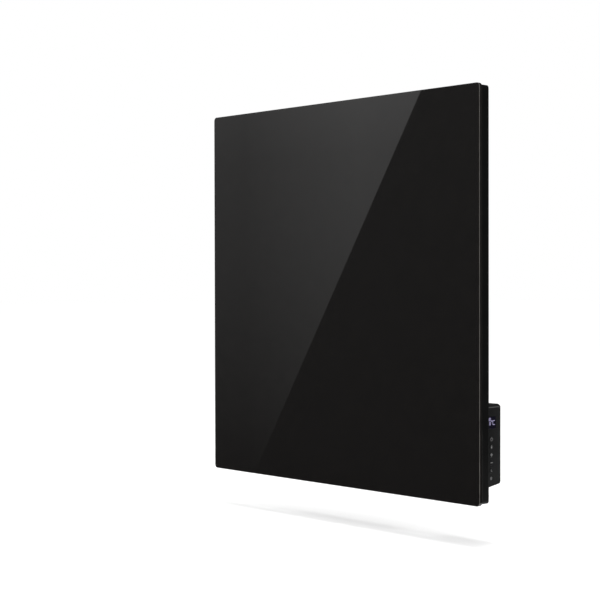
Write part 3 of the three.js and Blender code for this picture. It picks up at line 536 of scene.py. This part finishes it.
def stroke(bm, points, width, face, closed=False):
    """A flat bar along (right, up) points in mm on the box's side face, seen from its side."""
    count = len(points)
    loops = []
    for i, point in enumerate(points):
        here = Vector(point)
        before = Vector(points[i - 1]) if closed or i else None
        after = Vector(points[(i + 1) % count]) if closed or i < count - 1 else None
        into = (here - before).normalized() if before else (after - here).normalized()
        out = (after - here).normalized() if after else into
        middle = (into + out).normalized()
        side = Vector((-middle.y, middle.x)) * (width / 2 / max(SHARPEST, middle.dot(into)))
        near, far = here - side, here + side
        corners = ((-INLAY, near), (-INLAY, far), (PRINT, far), (PRINT, near))
        loops.append([face + Vector((height, place.x, place.y)) * MM for height, place in corners])
    loft(loops, bm, closed)


def onto_side(bm, node):
    """Turns a turned solid from +Y to +X and sets it on a CAD node's line."""
    place = side_centre(node)
    bm.transform(Matrix.Rotation(math.radians(-90), 4, "Z"))
    bm.transform(Matrix.Translation((0, place.y, place.z)))


def key_cap(node):
    """A round cap with a softened rim, its collar behind the wall and its plunger."""
    low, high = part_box(node)
    collar = (high.z - low.z) / 2
    cap = collar - COLLAR_REACH * MM
    plunger = PLUNGER * MM
    front = high.x - (KEY_PROUD + BOX_WALL + KEY_ROOM) * MM
    back = front - COLLAR_SHEET * MM
    edge = KEY_EDGE * MM
    rounding = arc((cap - edge, high.x - edge), edge, 0, 90, 5)
    profile = [(0, low.x), (plunger, low.x), (plunger, back), (collar, back), (collar, front), (cap, front)]
    bm = lathe([*profile, *rounding, (0, high.x)])
    onto_side(bm, node)
    slot, body = slot_and_body(node)
    piece(node + "_cap", bm, slot, body, [node])


# Key marks, whose points are (right, up) from the key's middle
MARK = 0.62  # width of a stroke


def power_mark(bm, face):
    stroke(bm, arc((0, -0.2), 2.2, 125, 415, 26), MARK, face)
    stroke(bm, [(0, 2.6), (0, 0.3)], MARK, face)


def lock_mark(bm, face):
    stroke(bm, [(0, -2.0), (0, 0.35)], 2.5, face)
    stroke(bm, [(-1.0, 0.3), *arc((0, 1.05), 1.0, 180, 0, 10), (1.0, 0.3)], MARK * 0.85, face)


def plus_mark(bm, face):
    stroke(bm, [(-2.4, 0), (2.4, 0)], MARK * 2, face)
    stroke(bm, [(0, -2.4), (0, 2.4)], MARK * 2, face)


def minus_mark(bm, face):
    stroke(bm, [(-2.2, 0), (2.2, 0)], MARK * 1.4, face)


def timer_mark(bm, face):
    stroke(bm, [(-0.75, 1.75), (-0.75, -1.0), (1.3, -1.0)], MARK, face)


for name, draw in {
    "power": power_mark,
    "lock": lock_mark,
    "plus": plus_mark,
    "minus": minus_mark,
    "timer": timer_mark,
}.items():
    key_cap(name + "_key")
    mark = bmesh.new()
    draw(mark, side_centre(name + "_key"))
    piece(name + "_mark", mark, "print", name + "_button")

# Display: two digits, a degree sign and a C, in bars with cut ends
DIGIT_WIDTH, DIGIT_HEIGHT = 2.3, 9.6  # between the middles of the outer bars
DIGIT_BAR = 0.75
DIGIT_GAP = 0.12
DIGIT_LOW = -2.9  # the middle of the lowest bar, from the window's middle
DIGIT_LEFTS = {"2": -7.6, "0": -3.9}
DEGREE_CENTRE, DEGREE_RADIUS, DEGREE_BAR = (0.9, 2.5), 0.9, 0.55
LETTER = [(7.6, 2.9), (4.0, 2.9), (3.2, 2.1), (3.2, -2.1), (4.0, -2.9), (7.6, -2.9)]
OVERLAP = 0.4  # of a bar's end, for the level bars at a digit's top and bottom
BARS = {
    "top": ((0, 1), (1, 1)),
    "upper_right": ((1, 1), (1, 0.5)),
    "lower_right": ((1, 0.5), (1, 0)),
    "bottom": ((0, 0), (1, 0)),
    "lower_left": ((0, 0.5), (0, 0)),
    "upper_left": ((0, 1), (0, 0.5)),
    "middle": ((0, 0.5), (1, 0.5)),
}
DIGITS = {
    "2": ("top", "upper_right", "middle", "lower_left", "bottom"),
    "0": ("top", "upper_right", "lower_right", "bottom", "lower_left", "upper_left"),
}


def digit(bm, face, figure, left):
    """A figure of bars, with its left bars' middles at a place right of the window's middle."""
    for bar in DIGITS[figure]:
        (x0, z0), (x1, z1) = BARS[bar]
        start = Vector((left + x0 * DIGIT_WIDTH, DIGIT_LOW + z0 * DIGIT_HEIGHT))
        stop = Vector((left + x1 * DIGIT_WIDTH, DIGIT_LOW + z1 * DIGIT_HEIGHT))
        along = (stop - start).normalized() * (DIGIT_BAR / 2 + DIGIT_GAP)
        if bar != "middle" and start.x != stop.x:
            along *= -OVERLAP
        stroke(bm, [start + along, stop - along], DIGIT_BAR, face)


def display_figures():
    face = side_centre("display_window")
    figures = bmesh.new()
    for figure, left in DIGIT_LEFTS.items():
        digit(figures, face, figure, left)
    degree = arc(DEGREE_CENTRE, DEGREE_RADIUS, 0, 360, 12)[:-1]
    stroke(figures, degree, DEGREE_BAR, face, closed=True)
    stroke(figures, LETTER, DIGIT_BAR, face)
    glow = lit("figures_glow", (0.55, 0.5, 0.8), 0.8)
    piece("display_figures", figures, glow, "heater")


display_figures()

LENS_RIM, LENS_WALL, LENS_DOME = 1.2, 2.1, 0.35  # rim's reach, depth of its face, height of the dome
LENS_TILTS = range(0, 90, 12)  # degrees


def receiver_lens():
    """The receiver's small domed window, with the rim that keeps it behind the wall."""
    low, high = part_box("receiver_window")
    rim = (high.z - low.z) / 2
    lens = rim - LENS_RIM * MM
    wall = high.x - LENS_WALL * MM
    turns = [math.radians(tilt) for tilt in LENS_TILTS]
    dome = [(lens * math.cos(a), high.x - LENS_DOME * MM * (1 - math.sin(a))) for a in turns]
    bm = lathe([(0, low.x), (rim, low.x), (rim, wall), (lens, wall), *dome, (0, high.x)])
    onto_side(bm, "receiver_window")
    piece("receiver_lens", bm, "lens", "heater", ["receiver_window"])


receiver_lens()

# ------------------------------------------------------------------------------------------------- stage

# In metres
FLOOR = -0.5095
FLOOR_REACH = 20
FLOOR_GLOW = 0.18  # of the floor's brightness, what doesn't take shadow
FLOOR_COLOUR = 0.97
AMBIENT = 0.85
CARD_GAP = 0.25  # from the glass to the cards it reflects
CARD_REACH = 2.5  # of those cards, to each side
CEILING = 1.6  # the top of all cards
CARDS_LEFT, CARDS_RIGHT, CARDS_BACK = -0.75, 0.42, 1.6  # of the dark cards round the back
SHEEN_EDGE = ((421.5, 89.3), (255.7, 470.7))  # pixels of the photograph, on the glass
# (z, strength) pairs from low to high
BRIGHT_GLOW = ((FLOOR, 0.15), (-0.3, 0.36), (-0.1, 0.56), (0.1, 0.74), (0.22, 1.0))
DIM_GLOW = ((FLOOR, 0.08), (0.2, 0.16))
BESIDE_GLOW = ((FLOOR, 0.07), (0.3, 0.1))
FADED, FADE_LEFT, FADE_RIGHT = 0.55, -0.52, -0.2  # the bright card's share at the left, and the fade's x


def stage_object(name, material, *points):
    """A flat stage piece through the points of its outline."""
    mesh = bpy.data.meshes.new(name)
    mesh.from_pydata([tuple(p) for p in points], [], [list(range(len(points)))])
    mesh.materials.append(material)
    made = bpy.data.objects.new(name, mesh)
    bpy.context.scene.collection.objects.link(made)
    return made


def seen(nodes):
    """1 for what the camera, reflections and glass see, 0 for the light that falls on things."""
    path = nodes.add("ShaderNodeLightPath", {}).outputs
    either = nodes.math("MAXIMUM", path["Is Camera Ray"], path["Is Glossy Ray"])
    return nodes.math("MAXIMUM", either, path["Is Transmission Ray"])


def floor_material():
    """A pale matt surface that glows a little, so that its shadows aren't black."""
    made = bpy.data.materials.new("pale_floor")
    nodes = Nodes(made)
    glow = nodes.ranged(seen(nodes), 0.0, FLOOR_GLOW, 0, 1)
    emission = nodes.add("ShaderNodeEmission", {"Strength": glow})
    matt = nodes.add("ShaderNodeBsdfDiffuse", {"Color": (FLOOR_COLOUR,) * 3 + (1,)})
    both = nodes.add("ShaderNodeAddShader", {0: emission.outputs[0], 1: matt.outputs[0]})
    nodes.surface(both.outputs[0])
    return made


def glow_by_height(name, stops, left=1.0):
    """A card's material, which glows by height and fades to a share of that at its left."""
    made = bpy.data.materials.new(name)
    nodes = Nodes(made)
    place = nodes.add("ShaderNodeNewGeometry", {}).outputs["Position"]
    axes = nodes.add("ShaderNodeSeparateXYZ", {"Vector": place}).outputs
    low, high = stops[0][0], stops[-1][0]
    share = nodes.ranged(axes["Z"], 0, 1, low, high)
    colour = nodes.ramp(share, *(((z - low) / (high - low), (level,) * 3) for z, level in stops))
    strength = nodes.ranged(axes["X"], left, 1, FADE_LEFT, FADE_RIGHT)
    emission = nodes.add("ShaderNodeEmission", {"Color": colour, "Strength": strength})
    nodes.surface(emission.outputs[0])
    return made


def reflected_cards():
    """Cards that only reflections see.

    The glass sees a dim one, and a brighter one whose edge makes the edge of the sheen. The sides and the
    back see four dark ones.
    """
    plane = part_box("glass_panel")[0].y
    mirrored = Vector((CAMERA_PLACE.x, 2 * plane - CAMERA_PLACE.y, CAMERA_PLACE.z))
    front = plane - CARD_GAP
    edge = []
    for pixel in SHEEN_EDGE:
        ray = ray_through(*pixel)
        on_glass = CAMERA_PLACE + ray * ((plane - CAMERA_PLACE.y) / ray.y)
        away = on_glass - mirrored
        edge.append(mirrored + away * ((front - mirrored.y) / away.y))
    top, bottom = edge
    slope = (top.x - bottom.x) / (top.z - bottom.z)
    edge_low, edge_high = [Vector((bottom.x + slope * (z - bottom.z), front, z)) for z in (FLOOR, CEILING)]
    bright = glow_by_height("bright_card_glow", BRIGHT_GLOW, FADED)
    dim = glow_by_height("dim_card_glow", DIM_GLOW)
    beside = glow_by_height("side_card_glow", BESIDE_GLOW)
    far_low, far_high = (-CARD_REACH, front, FLOOR), (-CARD_REACH, front, CEILING)
    near_low, near_high = (CARD_REACH, front, FLOOR), (CARD_REACH, front, CEILING)
    left, right, back = CARDS_LEFT, CARDS_RIGHT, CARDS_BACK
    cards = [
        stage_object("bright_card", bright, edge_low, edge_high, far_high, far_low),
        stage_object("dim_card", dim, edge_low, near_low, near_high, edge_high),
    ]
    for name, here, there in (
        ("right_card", (right, front), (right, back)),
        ("left_card", (left, front), (left, back)),
        ("back_card", (left, back), (right, back)),
    ):
        outline = (*here, FLOOR), (*there, FLOOR), (*there, CEILING), (*here, CEILING)
        cards.append(stage_object(name, beside, *outline))
    roof = [(x, y, CEILING) for x, y in ((left, front), (right, front), (right, back), (left, back))]
    cards.append(stage_object("top_card", beside, *roof))
    for card in cards:
        card.visible_camera = False
        card.visible_diffuse = False
        card.visible_shadow = False
        card.visible_transmission = False


def lamp(name, place, target, size, watts):
    """A rectangular soft box that points at a target."""
    data = bpy.data.lights.new(name, "AREA")
    data.shape = "RECTANGLE"
    data.size, data.size_y = size
    data.energy = watts
    made = bpy.data.objects.new(name, data)
    made.location = place
    made.rotation_euler = (Vector(target) - Vector(place)).to_track_quat("-Z", "Y").to_euler()
    bpy.context.scene.collection.objects.link(made)


floor_corners = [(x * FLOOR_REACH, y * FLOOR_REACH, FLOOR) for x, y in ((-1, -1), (1, -1), (1, 1), (-1, 1))]
stage_object("floor", floor_material(), *floor_corners)
reflected_cards()

studio = bpy.data.worlds.new("studio")
bpy.context.scene.world = studio
studio_nodes = Nodes(studio)
level = studio_nodes.ranged(seen(studio_nodes), AMBIENT, 1.0, 0, 1)
sky = studio_nodes.add("ShaderNodeBackground", {"Color": (1, 1, 1, 1), "Strength": level})
studio_nodes.surface(sky.outputs[0], "ShaderNodeOutputWorld")

lamp("key", (2.6, -1.2, 1.0), (0.2, 0, -0.2), (1.6, 1.6), 13)
lamp("overhead", (0.13, -0.03, 1.9), (0.13, -0.03, -0.5), (1.4, 0.44), 21)

bpy.context.scene.view_settings.view_transform = "Standard"
